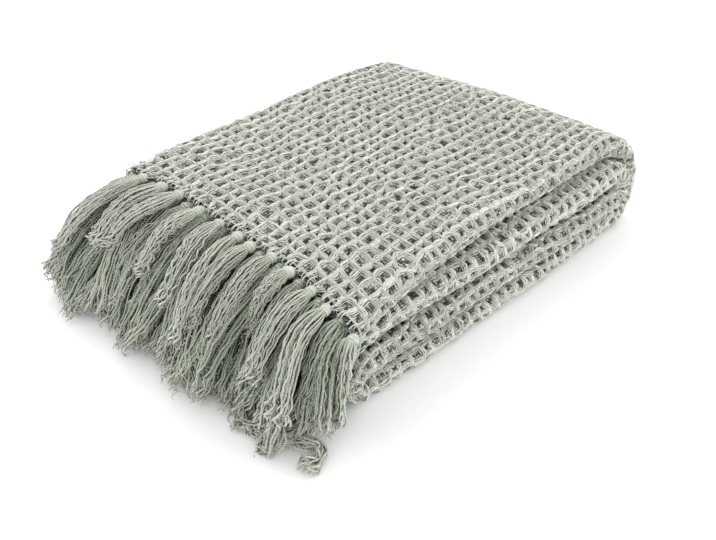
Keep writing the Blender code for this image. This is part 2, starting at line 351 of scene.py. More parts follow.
# Locks that have come loose from the fringe's front corner and lie on the floor: how thick each is, and the
# places that it passes through.
LOOSE_LOCKS = (
    (
        0.80,
        (-0.040, 0.014, 0.034),
        (-0.050, 0.026, 0.020),
        (-0.062, 0.027, 0.011),
        (-0.069, 0.013, 0.007),
        (-0.066, 0.001, 0.008),
        (-0.060, -0.010, 0.007),
        (-0.069, -0.018, 0.006),
        (-0.087, -0.014, 0.005),
    ),
    (
        0.66,
        (-0.058, 0.012, 0.022),
        (-0.070, 0.016, 0.015),
        (-0.080, 0.034, 0.012),
        (-0.085, 0.053, 0.010),
        (-0.086, 0.068, 0.006),
    ),
    (0.60, (-0.068, 0.008, 0.009), (-0.078, 0.018, 0.009), (-0.086, 0.034, 0.008), (-0.088, 0.050, 0.006)),
    (0.50, (-0.078, 0.044, 0.016), (-0.084, 0.036, 0.010), (-0.089, 0.027, 0.006), (-0.095, 0.018, 0.004)),
)
LOCK_STRANDS = 16
LOCK_POINTS = 4
LOCK_LOOSENESS = 0.8
# The loose locks' painted shade.
LOCK_SHADE = 0.12

# A knot is a ball wound with the tassel's own yarn.
FINE_BALL = (14, 11)
PLAIN_BALL = (10, 8)
KNOT_PLACE = 0.055
KNOT_AIM = 0.13
KNOT_TURNED = np.array((0.0, -0.1, 0.0))
KNOT_SIZES = (1.0, 1.2)
KNOT_LENGTH = 0.0056
KNOT_TIP = 0.0057
KNOT_GIRTH = 0.0050
KNOT_LEAN = 0.0008
KNOT_BULGE = 0.7
# The wound yarn's two waves: their size, and their turns down the ball, round it and at the start.
KNOT_WRAPS = ((0.045, 3.2, 1.0, 1.0), (0.025, 6.0, -2.0, 2.0))
KNOT_POLE = 0.10
KNOT_FLOOR = 0.0003
KNOT_LAY = 0.0066
# The knot's painted shade: all over, at its two ends, in the grooves between its wraps and at its neck, and
# where the neck's shade sets in.
KNOT_SHADE = 0.36
KNOT_TIP_SHADE = 0.2
WRAP_GROOVE_SHADE = 2.6
NECK_SHADE = 0.30
NECK_SPAN = (2.2, 0.8)
KNOT_TINT = 0.5

# The warp ends that gather into each knot.
GATHER_ENDS = 7
GATHER_POINTS = 6
GATHER_RADIUS = 0.00075
GATHER_WIDTH = 0.0105
GATHER_INSET = 0.0060
GATHER_RISE = 0.0006
GATHER_SPREAD = 0.08
GATHER_LIFTS = (-0.0012, 0.0022)
GATHER_BEND = 0.0016
# The gathered ends' painted shade.
GATHER_SHADE = 0.15

# The header's coils. Each run has its first and last cell and how far apart its turns are, in cells.
COIL_RUNS = ((20.0, 48.0, 0.21), (0.0, 21.0, 0.50), (47.0, 94.0, 0.50))
COIL_STEPS = 9
COIL_PACES = (0.6, 1.4)
COIL_SIZE = 0.0040
COIL_GROWTH = 0.0018
COIL_GROWTH_TURN = 0.11
COIL_JITTER = 0.0003
COIL_SWAY = 0.20
COIL_SWAY_TURN = 0.23
COIL_SLANT = 0.10
COIL_SLANT_START = 0.8
COIL_GIRTH = 1.05
# Where a coil's middle stands off the edge, how tall and wide it is for its size, and its painted shade,
# which grows on the coil's lower half.
COIL_RISE = 0.0004
COIL_OUT = 0.0012
COIL_TALL = 0.75
COIL_WIDE = 1.25
COIL_BASE_SHADE = 0.14
COIL_SHADE = 0.60
COIL_SHADE_SPAN = (-0.0006, 0.004)
COIL_TINT = 0.3

# The cotton's colour on the ridges and tassels. The sheet under the floats is painted darker than the yarn,
# as painted shade between the floats, and the colours in the pits and between the strands are painted shade.
SAGE = (0.742, 0.762, 0.684)
SAGE_BED_SHADED = (0.43, 0.453, 0.385)
SAGE_PIT_SHADE = (0.036, 0.043, 0.029)
SAGE_TASSEL = (0.585, 0.608, 0.532)
SAGE_SHADE = (0.250, 0.296, 0.211)
YARNS_PER_CELL = 7
PLIES = 2
PLY_LAY = 0.0042
FIBRE_SCALE = 750.0
BATCH_SCALE = 9.0
BATCH_STRENGTH = 0.16
GRAIN_LIGHT = 0.42
LEAST_LIGHT = 0.2
ROUGHNESS = 0.86
ROUGHNESS_SPREAD = 0.10
GRAIN_RELIEF = 0.5
CROSSING_BUMP = 1.6
CROSSING_CHANCE = 2.4
BUMP_HEIGHT = 0.0004
COTTON_SHEEN = {"Specular IOR Level": 0.2, "Sheen Weight": 0.15, "Sheen Roughness": 0.6}
# Each finish has its grain, its colour with no painted shade and its colour in full painted shade, and how
# strong its tint, its grain, its fibres and its bump are.
FINISHES = {
    "waffle_cotton": ("plain_weave", SAGE_BED_SHADED, SAGE_PIT_SHADE, 0.0, 0.50, 0.8, 1.0),
    "float_cotton": ("yarn_ply", SAGE, SAGE_PIT_SHADE, 0.05, 0.13, 0.62, 0.8),
    "tassel_cotton": ("yarn_ply", SAGE_TASSEL, SAGE_SHADE, 0.04, 0.12, 0.36, 0.6),
    "knot_cotton": ("yarn_ply", SAGE_TASSEL, SAGE_SHADE, 0.06, 0.05, 0.80, 0.8),
}

# The studio: each lamp's place, width and power, and the camera's place and aim.
FLOOR_FINISH = {"Base Color": (0.90, 0.90, 0.90, 1.0), "Roughness": 0.9, "Specular IOR Level": 0.1}
WORLD_LIGHT = 1.232
LAMPS = {
    "key": ((0.60, 0.75, 1.1), 0.8, 5.5),
    "fill": ((1.0, -1.6, 0.5), 1.5, 13.0),
    "edge": ((-1.2, 0.8, 0.9), 1.0, 3.2),
}
LAMP_TARGET = (0.0, 0.0, 0.05)
CAMERA_PLACE = (-0.3381, -0.3312, 0.5597)
CAMERA_AIM = (0.5458, 0.5376, -0.6426)
CAMERA_LENS = 40.2


def between(low, high, share):
    return low + (high - low) * share


def soft_step(value):
    """0 below 0, 1 above 1 and a smooth rise between them."""
    value = np.clip(value, 0.0, 1.0)
    return value * value * (3.0 - 2.0 * value)


def setting_in(at, start, length):
    """0 before a span and 1 after it."""
    return soft_step((at - start) / length)


def unit(vectors):
    return vectors / np.maximum(np.linalg.norm(vectors, axis=-1, keepdims=True), 1e-9)


def running_sum(steps):
    """How far along each place is, from the steps between them."""
    return np.concatenate([np.zeros_like(steps[..., :1]), np.cumsum(steps, axis=-1)], axis=-1)


# ---- the folded cloth


def eased_run(table):
    """A run's rows joined by smooth curves, at even steps along it."""
    rows = np.array(table)
    reach = running_sum(np.abs(np.diff(rows[:, 0])))
    slopes = np.gradient(rows, reach, axis=0)
    at = np.linspace(0.0, reach[-1], math.ceil(reach[-1] / ROUTE_STEP))
    index = np.clip(np.searchsorted(reach, at, side="right") - 1, 0, len(reach) - 2)
    width = (reach[index + 1] - reach[index])[:, None]
    share = ((at - reach[index]) / width[:, 0])[:, None]
    rest = 1.0 - share
    return (
        rows[index] * rest**2 * (1.0 + 2.0 * share)
        + slopes[index] * width * rest**2 * share
        + rows[index + 1] * share**2 * (3.0 - 2.0 * share)
        - slopes[index + 1] * width * share**2 * rest
    )


def round_loop(start, end, turn):
    """The places round a fold between two runs. turn is 1 at the rounded end and -1 at the fringed one."""
    radius = (start[1] - end[1]) / 2
    share = np.linspace(0.0, 1.0, LOOP_STEPS + 2)[1:-1]
    places = start + (end - start) * share[:, None]
    places[:, 0] += turn * abs(radius) * np.sin(math.pi * share)
    places[:, 1] = (start[1] + end[1]) / 2 + radius * np.cos(math.pi * share)
    return places


def strip_route():
    """The strip's middle line at even steps: x, z, front, back, upward normal and place in cells."""
    runs = [eased_run(run) for run in (TOP_RUN, BOTTOM_RUN, LOWER_MIDDLE_RUN, UPPER_MIDDLE_RUN)]
    parts = runs[:1]
    for turn, before, after in zip((1, -1, 1), runs, runs[1:]):
        parts += [round_loop(before[-1], after[0], turn), after]
    line = np.concatenate(parts)
    reach = running_sum(np.hypot(np.diff(line[:, 0]), np.diff(line[:, 1])))
    at = np.arange(0.0, reach[-1], ROUTE_STEP)
    x, z, front, back = (np.interp(at, reach, column) for column in line.T)
    heading = np.unwrap(np.arctan2(np.gradient(z), np.gradient(x)))
    padded = np.pad(heading, HEADING_BLUR // 2, mode="edge")
    heading = np.convolve(padded, np.ones(HEADING_BLUR) / HEADING_BLUR, mode="valid")
    heading *= soft_step(at / SQUARE_END)
    heading = -math.pi + (heading + math.pi) * soft_step((at[-1] - at) / SQUARE_END)
    length = running_sum(ROUTE_STEP + OUTER_FOLD_RADIUS * np.abs(np.diff(heading)))
    cell = length / length[-1] * round(length[-1] / CELL)
    return dict(cell=cell, x=x, z=z, front=front, back=back, rise_x=-np.sin(heading), rise_z=np.cos(heading))


def section_sheet(level, near, far, to_back):
    """One sheet of the section as rows of share, offset, level and the direction of its outer face."""
    share = np.linspace(0.0, 1.0, SHEET_STEPS)
    same = np.ones_like(share)
    face = 1.0 if to_back else -1.0
    offset = (1.0 - share) * near - share * far
    rows = np.stack([share, offset, level * same, 0.0 * same, face * same], axis=1)
    return rows if to_back else rows[::-1]


def section_fold(share, offset, level, radius, bulge, rising):
    """One fold of the section about a centre. bulge is -1 towards the front and 1 towards the back."""
    angle = np.linspace(0.0, math.pi, FOLD_STEPS + 2)[1:-1]
    across = bulge * np.sin(angle)
    upward = -np.cos(angle) if rising else np.cos(angle)
    side = 1.0 if rising == (bulge < 0) else -1.0
    middle = [np.full_like(angle, share), offset + radius * across, level + radius * upward]
    return np.stack([*middle, side * across, side * upward], axis=1)


def section_line():
    """The middle line of the four sheets from selvedge to selvedge, and where each sheet and fold ends."""
    outer, inner = OUTER_FOLD_RADIUS, INNER_FOLD_RADIUS
    front = outer + SHEET_THICKNESS / 2
    back = inner + SHEET_THICKNESS / 2
    parts = [
        section_sheet(-outer, front, SELVEDGE_SETBACK, False),
        section_fold(0.0, front, 0.0, outer, -1, True),
        section_sheet(outer, front, back, True),
        section_fold(1.0, -back, SHEET_PITCH, inner, 1, False),
        section_sheet(inner, front, back, False),
        section_fold(0.0, front, 0.0, inner, -1, False),
        section_sheet(-inner, front, 2 * SELVEDGE_SETBACK, True),
    ]
    share, offset, level, face_y, face_z = np.concatenate(parts).T
    reach = running_sum(np.hypot(np.diff(share * PACKET_DEPTH + offset), np.diff(level)))
    cell = reach / reach[-1] * CELLS_ACROSS
    ends = cell[np.cumsum([len(part) for part in parts]) - 1]
    return dict(cell=cell, share=share, offset=offset, level=level, face_y=face_y, face_z=face_z, ends=ends)


ROUTE = strip_route()
SECTION = section_line()
CELLS_ALONG = int(round(ROUTE["cell"][-1]))
# The last cell of each part of the section: sheet, front fold, sheet, back fold, and so on.
LOW_SHEET, FRONT_FOLD, TOP_SHEET, BACK_FOLD = SECTION["ends"][:4]


def on_route(s):
    return {name: np.interp(s, ROUTE["cell"], ROUTE[name]) for name in ROUTE}


def packet_point(place, share, offset, level, out=0.0):
    """The points at places of the route and of the section, moved out past the cloth's fringed edge."""
    y = between(place["front"], place["back"], share) + offset
    across = np.clip((y - place["front"]) / (place["back"] - place["front"]), 0.0, 1.0)
    along = place["x"]
    x = along + level * place["rise_x"] - out
    z = place["z"] + level * place["rise_z"]
    drawn = np.clip((along - CORNER_DRAW_START) / (FOLDED_END - CORNER_DRAW_START), 0.0, 1.0)
    x = x - CORNER_DRAW * drawn**2 * across**CORNER_DRAW_POWER
    bowed = soft_step(np.minimum(across / EDGE_BOW_FRONT, (1.0 - across) / (1.0 - EDGE_BOW_BACK)))
    x = x + EDGE_BOW * np.clip(1.0 - along / EDGE_BOW_LENGTH, 0.0, 1.0) * bowed
    for corner_x, corner_y, reach, droop in DROOPS:
        near_x = soft_step(1.0 - np.abs(x - corner_x) / reach)
        near_y = soft_step(1.0 - np.abs(y - corner_y) / reach)
        z = z * (1.0 - droop * (near_x * near_y))
    return np.stack([x, y, z], axis=-1) + ROUTE_TO_FRAME


def soft_waves(draws, s, t, lengths, count=7):
    """A smooth uneven field over the cloth, about from -1 to 1."""
    total = np.zeros(np.broadcast(s, t).shape)
    for _ in range(count):
        length = draws.uniform(*lengths)
        angle = draws.uniform(0.0, FULL_TURN)
        phase = draws.uniform(0.0, FULL_TURN)
        total += np.sin(FULL_TURN * (s * math.cos(angle) + t * math.sin(angle)) / length + phase)
    return total / math.sqrt(count)


def uneven_weave():
    """How far each crossing is off the even grid, and how each cell swells or shrinks between its ridges."""
    draws = np.random.default_rng(41)
    s, t = np.meshgrid(np.arange(CELLS_ALONG + 1), np.arange(CELLS_ACROSS + 1), indexing="ij")
    shift_s = CELL_WANDER * soft_waves(draws, s, t, CELL_WANDER_LENGTHS)
    shift_t = CELL_WANDER * soft_waves(draws, s, t, CELL_WANDER_LENGTHS)
    shift_s += CELL_JITTER * draws.normal(size=s.shape)
    shift_t += CELL_JITTER * draws.normal(size=s.shape)
    # The weave runs a little askew to the folds, most of all away from the selvedges.
    inside = soft_step(np.minimum(t, CELLS_ACROSS - t) / DRIFT_INSET)
    for size, slant, length, start in DRIFTS:
        shift_t += size * inside * np.sin(FULL_TURN * (s + slant * t) / length + start)
    drawn = s / FIRST_FOLD_CELL
    shift_s += DRAWN_OUT * FIRST_FOLD_CELL * np.where(drawn < 1.0, drawn * (1.0 - drawn), 0.0)
    shift_s[[0, -1], :] = 0.0
    shift_t[:, [0, -1]] = 0.0
    swell = np.clip(draws.normal(0.0, CELL_SWELL, (CELLS_ALONG, CELLS_ACROSS)), -1.0, 1.0)
    bow_s = np.zeros((CELLS_ALONG + 1, CELLS_ACROSS))
    bow_t = np.zeros((CELLS_ALONG, CELLS_ACROSS + 1))
    for bow, cells in ((bow_s[1:-1], swell), (bow_t.T[1:-1], swell.T)):
        bow += EDGE_SWELL * (cells[:-1] - cells[1:]) / 2
    bow_s[1:-1] += EDGE_JITTER * draws.normal(size=bow_s[1:-1].shape)
    bow_t[:, 1:-1] += EDGE_JITTER * draws.normal(size=bow_t[:, 1:-1].shape)
    return {"shift_s": shift_s, "shift_t": shift_t, "bow_s": bow_s, "bow_t": bow_t, "swell": swell}


WEAVE = uneven_weave()


def woven(s, t):
    """Moves places of the even grid to where the uneven weave has them."""
    i = np.clip(np.floor(s).astype(int), 0, CELLS_ALONG - 1)
    j = np.clip(np.floor(t).astype(int), 0, CELLS_ACROSS - 1)
    f, g = s - i, t - j

    def shifted(corner):
        near = corner[i, j] * (1 - f) + corner[i + 1, j] * f
        far = corner[i, j + 1] * (1 - f) + corner[i + 1, j + 1] * f
        return near * (1 - g) + far * g

    def bowed(bow, next_i, next_j, share, along):
        bow = bow[i, j] * (1 - share) + bow[next_i, next_j] * share
        return bow * np.sin(math.pi * np.clip(along, 0, 1))

    bow_s = bowed(WEAVE["bow_s"], i + 1, j, f, g)
    bow_t = bowed(WEAVE["bow_t"], i, j + 1, g, f)
    return s + shifted(WEAVE["shift_s"]) + bow_s, t + shifted(WEAVE["shift_t"]) + bow_t


def folded(s, t, height):
    """The points of the folded cloth at places of its grid, at a height on its outer face."""
    s, t = woven(s, t)
    names = ("share", "offset", "level", "face_y", "face_z")
    share, offset, level, face_y, face_z = (np.interp(t, SECTION["cell"], SECTION[name]) for name in names)
    size = np.maximum(np.hypot(face_y, face_z), 1e-6)
    offset = offset + height * face_y / size
    level = level + height * face_z / size
    points = packet_point(on_route(s), share, offset, level)
    points[..., 2] = np.maximum(points[..., 2], 0.0)
    return points


def cell_grades():
    """How much of each cell shows: 0 is hidden between sheets, 1 is half hidden and 2 shows."""
    s = np.arange(CELLS_ALONG) + 0.5
    t = np.arange(CELLS_ACROSS) + 0.5
    x = np.interp(s, ROUTE["cell"], ROUTE["x"])
    on_top = (s < TOP_SHEET_CELLS) | ((x > FOLDED_END) & (s < FOLDED_END_CELLS))
    by_fringe = (x < FRINGE_FOLD_X) & (s > FRINGE_FOLD_CELLS[0]) & (s < FRINGE_FOLD_CELLS[1])
    outer_sheet = (t > LOW_SHEET - OUTER_MARGINS[0]) & (t < BACK_FOLD + OUTER_MARGINS[1])
    front_fold = (t > LOW_SHEET - FOLD_MARGIN) & (t < FRONT_FOLD + FOLD_MARGIN)
    back_fold = (t > TOP_SHEET - FOLD_MARGIN) & (t < BACK_FOLD + FOLD_MARGIN)
    selvedges = (t < 1.0) | (t > CELLS_ACROSS - 1.0)
    grades = np.zeros((CELLS_ALONG, CELLS_ACROSS), int)
    grades[:, selvedges | back_fold] = HALF_SHOWN
    grades[:, front_fold] = SHOWN
    grades[np.ix_(by_fringe, outer_sheet)] = HALF_SHOWN
    grades[np.ix_(on_top, outer_sheet)] = SHOWN
    return grades


GRADES = cell_grades()


def pit_height(s, t, i, j):
    """The height of the sheet at places in given cells, and the painted shade they get in the pit, from 0 to
    1.
    """
    f, g = s - i, t - j
    edge = np.abs(2.0 * f - 1.0) ** PIT_ROUNDNESS + np.abs(2.0 * g - 1.0) ** PIT_ROUNDNESS
    edge = soft_step((edge ** (1.0 / PIT_ROUNDNESS) - PIT_INNER) / (PIT_OUTER - PIT_INNER))
    swell = np.clip(0.5 + 0.5 * WEAVE["swell"][i, j], 0.0, 1.0)
    floor = between(PIT_FLOOR, SHALLOW_FLOOR, swell**2)
    depth = np.minimum(PIT_SHADE * (1.0 - edge), 1.0) * (1.0 - SHALLOW_LIGHT * swell**2)
    return between(floor, CREST_BED, edge), depth


def waffle_sheet():
    """Points, faces and places of the whole sheet, with a finer grid in the cells that show."""
    keys, places, faces = [], [], []
    start = 0
    for grade, lines in enumerate(CELL_LINES):
        i, j = (cells[:, None, None] for cells in np.nonzero(GRADES == grade))
        side = len(lines) + 1
        f, g = np.meshgrid([*lines, 1.0], [*lines, 1.0], indexing="ij")
        s, t = i + f, j + g
        places.append(np.stack([s, t, *pit_height(s, t, i, j)], axis=-1).reshape(-1, 4))
        key_s, key_t = (np.round(100 * at).astype(np.int64) for at in (s, t))
        keys.append((100000 * key_s + key_t).ravel())
        corner = np.arange(side**2).reshape(side, side)
        quads = np.stack([corner[:-1, :-1], corner[1:, :-1], corner[1:, 1:], corner[:-1, 1:]], axis=-1)
        first = start + np.arange(len(i))[:, None, None] * side**2
        faces.append((first + quads.reshape(-1, 4)).reshape(-1, 4))
        start += s.size
    # Cells share the points along their edges.
    _, first, index = np.unique(np.concatenate(keys), return_index=True, return_inverse=True)
    places = np.concatenate(places)[first]
    faces = index.reshape(-1)[np.concatenate(faces)]
    return folded(places[:, 0], places[:, 1], places[:, 2]), faces, places


# ---- yarns


def round_the_yarn(values, sides):
    """Values along yarns' middle lines, repeated for the points round their tubes."""
    body = np.repeat(values[..., 1:-1], sides, axis=-1)
    return np.concatenate([values[..., :1], body, values[..., -1:]], axis=-1)


def tube_faces(rings, sides):
    """The triangles of a tube whose points are one end, then its rings, then the other end."""
    faces = []
    last = 1 + rings * sides
    for k in range(sides):
        n = (k + 1) % sides
        faces.append((0, 1 + k, 1 + n))
        for ring in range(1, last - sides, sides):
            faces.append((ring + k, ring + sides + n, ring + n))
            faces.append((ring + k, ring + sides + k, ring + sides + n))
        faces.append((last, last - sides + n, last - sides + k))
    return np.array(faces)


def yarn_tubes(centres, ups, radii, sides):
    """Points and triangles of many yarns at once, each closed at its ends, and their places on the yarn."""
    yarns, count, _ = centres.shape
    ahead = unit(np.gradient(centres, axis=1))
    side = unit(np.cross(ahead, ups))
    up = np.cross(side, ahead)
    angle = FULL_TURN * np.arange(sides) / sides
    ring = np.cos(angle)[:, None] * side[:, :, None] + np.sin(angle)[:, None] * up[:, :, None]
    body = centres[:, 1:-1, None] + radii[:, 1:-1, None, None] * ring[:, 1:-1]
    points = np.concatenate([centres[:, :1], body.reshape(yarns, -1, 3), centres[:, -1:]], axis=1)
    place = np.zeros_like(points)
    place[:, 1:-1, 0] = np.tile(np.cos(angle), count - 2)
    place[:, 1:-1, 1] = np.tile(np.sin(angle), count - 2)
    place[..., 2] = round_the_yarn(running_sum(np.linalg.norm(np.diff(centres, axis=1), axis=2)), sides)
    faces = np.arange(yarns)[:, None, None] * points.shape[1] + tube_faces(count - 2, sides)
    return points.reshape(-1, 3), faces.reshape(-1, 3), place.reshape(-1, 3)


def dyed_yarns(centres, ups, radii, depth, tints):
    """Yarns as one mesh, with each point's painted shade and each yarn's own tint."""
    points, faces, place = yarn_tubes(centres, ups, radii, YARN_SIDES)
    depth = round_the_yarn(np.broadcast_to(depth, centres.shape[:2]), YARN_SIDES).ravel()
    return points, faces, place, depth, np.repeat(tints, len(points) // len(tints))


def joined(parts):
    """Several meshes' points, faces and attributes as one."""
    starts = np.cumsum([0, *(len(part[0]) for part in parts)])
    faces = [part[1] + start for part, start in zip(parts, starts)]
    points, _, *values = (np.concatenate(same) for same in zip(*parts))
    return points, np.concatenate(faces), *values


def ridges_of(cells):
    """The ridges beside these cells: those that run along the cloth, and those that run across it."""
    along = np.zeros((CELLS_ALONG, CELLS_ACROSS + 1), bool)
    along[:, :-1] |= cells
    along[:, 1:] |= cells
    across = np.zeros((CELLS_ALONG + 1, CELLS_ACROSS), bool)
    across[:-1] |= cells
    across[1:] |= cells
    return np.nonzero(along), np.nonzero(across)


def float_yarns(cells, most_ranks, most_points, seed):
    """The floats on the ridges round these cells, as one mesh."""
    draws = np.random.default_rng(seed)
    ridges = ridges_of(cells)
    parts = []
    for away, pinch, length, height, ends, depth, girth, points in FLOAT_RANKS[:most_ranks]:
        inner = np.linspace(0.0, 1.0, min(points, most_points) - 2) * (1.0 - 2.0 * FLOAT_TIP) + FLOAT_TIP
        share = np.concatenate([[0.0], inner, [1.0]])
        arch = np.sin(math.pi * share) ** FLOAT_ARCH
        reach = 0.5 + (share - 0.5) * length
        pinched = between(pinch, 1.0, np.sin(math.pi * np.clip(reach, 0.0, 1.0)))
        # Each float's painted shade, more towards its ends.
        float_shade = depth + FLOAT_END_SHADE * depth * (1.0 - arch)
        for side in (-1, 1):
            for direction, (i, j) in enumerate(ridges):
                across, most = (j, CELLS_ACROSS) if direction == 0 else (i, CELLS_ALONG)
                keep = (across + side >= 0) & (across + side <= most)
                i, j = i[keep].astype(float)[:, None], j[keep].astype(float)[:, None]
                beside = side * away / CELL * pinched * (1.0 + AWAY_JITTER * draws.normal(size=i.shape))
                beside = beside + SIDE_SLIP * draws.normal(size=i.shape)
                rise = between(ends, height, arch) + HEIGHT_JITTER * draws.normal(size=i.shape)
                rise = np.minimum(rise, MOST_HEIGHT)
                s, t = (i + reach, j + beside) if direction == 0 else (i + beside, j + reach)
                s = np.clip(s + FLOAT_WANDER * draws.normal(size=s.shape), 0.0, CELLS_ALONG)
                t = np.clip(t + FLOAT_WANDER * draws.normal(size=t.shape), 0.0, CELLS_ACROSS)
                centres = folded(s, t, rise)
                ups = unit(folded(s, t, rise + PROBE) - centres)
                radii = YARN_RADIUS * girth * (1.0 + GIRTH_JITTER * draws.normal(size=i.shape))
                radii = radii * np.ones_like(s)
                parts.append(dyed_yarns(centres, ups, radii, float_shade, draws.normal(size=len(i))))
    return joined(parts)


def add_piece(name, material, slot, points, faces, place, depth, tint):
    """A smooth mesh piece that rides on the root, with its values as attributes for its material."""
    mesh = bpy.data.meshes.new(name)
    points[:, 2] = np.maximum(points[:, 2], 0.0)
    mesh.vertices.add(len(points))
    mesh.vertices.foreach_set("co", points.astype(np.float32).ravel())
    mesh.loops.add(faces.size)
    mesh.loops.foreach_set("vertex_index", faces.astype(np.int32).ravel())
    mesh.polygons.add(len(faces))
    mesh.polygons.foreach_set("loop_start", np.arange(0, faces.size, faces.shape[1], dtype=np.int32))
    mesh.update(calc_edges=True)
    # The depth attribute is each point's painted shade.
    for value_name, kind, field, value in (
        ("depth", "FLOAT", "value", depth),
        ("tint", "FLOAT", "value", tint),
        ("yarn", "FLOAT_VECTOR", "vector", place),
    ):
        attribute = mesh.attributes.new(value_name, kind, "POINT")
        attribute.data.foreach_set(field, value.astype(np.float32).ravel())
    mesh.shade_smooth()
    mesh.materials.append(material)
    piece = bpy.data.objects.new(name, mesh)
    bpy.context.scene.collection.objects.link(piece)
    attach(piece, "root")
    return piece


# ---- the fringe


def hang_of(row):
    """How a row of tassels hangs, between the rows of HANGS."""
    low, high = HANGS[:2] if row <= HANGS[1]["row"] else HANGS[1:]
    share = (row - low["row"]) / (high["row"] - low["row"])
    return (between(np.array(low[name]), np.array(high[name]), share) for name in ("out", "height", "lean"))


def shade_of(row):
    """How much more painted shade a row of tassels gets than the topmost one."""
    return 0.0 if row == TOP_ROW else UNDER_SHADE + ROW_SHADE * (TOP_ROW - row)


def ripple(knot, size, count, turn, row_turn):
    return size * math.sin(turn * knot[count] + row_turn * knot["row"])


def knots_of(edge, lowest_row):
    """Every knot along one cut edge: its row, its counts and its root at the cloth."""
    place = on_route(np.array(edge))
    knots = []
    for level, to_back in (
        (-OUTER_FOLD_RADIUS, False),
        (OUTER_FOLD_RADIUS, True),
        (INNER_FOLD_RADIUS, False),
        (-INNER_FOLD_RADIUS, True),
    ):
        rank = round(float(place["rise_z"]) * level / SHEET_PITCH + (SHEETS_PER_STRIP - 1) / 2)
        row = lowest_row + rank
        numbers = range(KNOTS_PER_SHEET)
        for number in numbers if to_back else reversed(numbers):
            share = between(FIRST_KNOT, LAST_KNOT, number / (KNOTS_PER_SHEET - 1))
            share += KNOT_STAGGER * math.sin(KNOT_STAGGER_TURN * level / SHEET_PITCH)
            out = SPINE_GAP + SPINE_DEPTH
            if row == TOP_ROW:
                share = TOP_KNOTS[number]
                out += KNOT_WANDER * (0.5 + 0.5 * math.sin(KNOT_WANDER_TURN * number + KNOT_WANDER_START))
            offset = max(0.0, FRONT_INSET - abs(share) * PACKET_DEPTH)
            drop = 0.0
            if row == TOP_ROW and number == 0:
                offset, drop = FRONT_KNOT_SLIP
            root = packet_point(place, share, offset, level - drop, out)
            knots.append({"row": row, "root": root, "index": len(knots), "number": number})
    return knots


def curve_through(guides, share):
    """Points at shares of a cubic curve with four guide points, and beyond its end."""
    share = share[:, None]
    rest = 1.0 - share
    near = guides[0] * rest**3 + 3 * guides[1] * rest**2 * share
    return near + 3 * guides[2] * rest * share**2 + guides[3] * share**3


def path_through(points, share):
    """Points at shares of a smooth path through some places."""
    places = np.array(points) + ROUTE_TO_FRAME
    places = np.concatenate([2 * places[:1] - places[1:2], places, 2 * places[-1:] - places[-2:-1]])
    at = np.clip(share, 0.0, 1.0) * (len(points) - 1)
    index = np.clip(np.floor(at).astype(int), 0, len(points) - 2)
    f = (at - index)[:, None]
    a, b, c, d = (places[index + k] for k in range(4))
    return b + 0.5 * f * (c - a + f * (2 * a - 5 * b + 4 * c - d + f * (3 * (b - c) + d - a)))


def tassel_guides(knot, draws):
    """The four guide points that one tassel's middle line follows."""
    root = knot["root"]
    outs, heights, lean = hang_of(knot["row"])
    across = np.clip((root[1] - ROUTE_TO_FRAME[1]) / PACKET_DEPTH, 0.0, 1.0)
    freedom = 1.0 if ROW_END < across < 1.0 - ROW_END else END_FREEDOM
    lean = float(lean) * max(across / LEAN_TURN - 1.0, MOST_FRONT_LEAN) + ripple(knot, *SWAY)
    lean += (draws.normal(0.0, LEAN_SPREAD) + ROW_LEANS[knot["row"]]) * freedom
    reach = 1.0 + ripple(knot, *REACH_SWAY)
    reach += BACK_REACH * across**2 + FRONT_REACH * (1.0 - across) ** FRONT_REACH_POWER
    outs = outs * (reach * (1.0 + draws.normal(0.0, REACH_SPREAD) * freedom))
    if knot["row"] == TOP_ROW:
        far, lean, tip = TOP_TIPS[knot["number"]]
        outs = np.array(TOP_OUTS) * far
        heights = (root[2] + TOP_ARCH, between(tip, root[2], TOP_MIDDLE), tip)
        if knot["number"] == 0:
            outs, heights = FRONT_TASSEL_OUTS, FRONT_TASSEL_HEIGHTS
    guides = zip(outs, heights, GUIDE_LEANS)
    return np.array([root, *((root[0] - out, root[1] + lean * leaning, z) for out, z, leaning in guides)])


def wave(at, draws, count, turns):
    """An uneven wave along each of some strands, from -1 to 1."""
    return np.sin(at * draws.uniform(*turns, (count, 1)) + draws.uniform(0.0, FULL_TURN, (count, 1)))


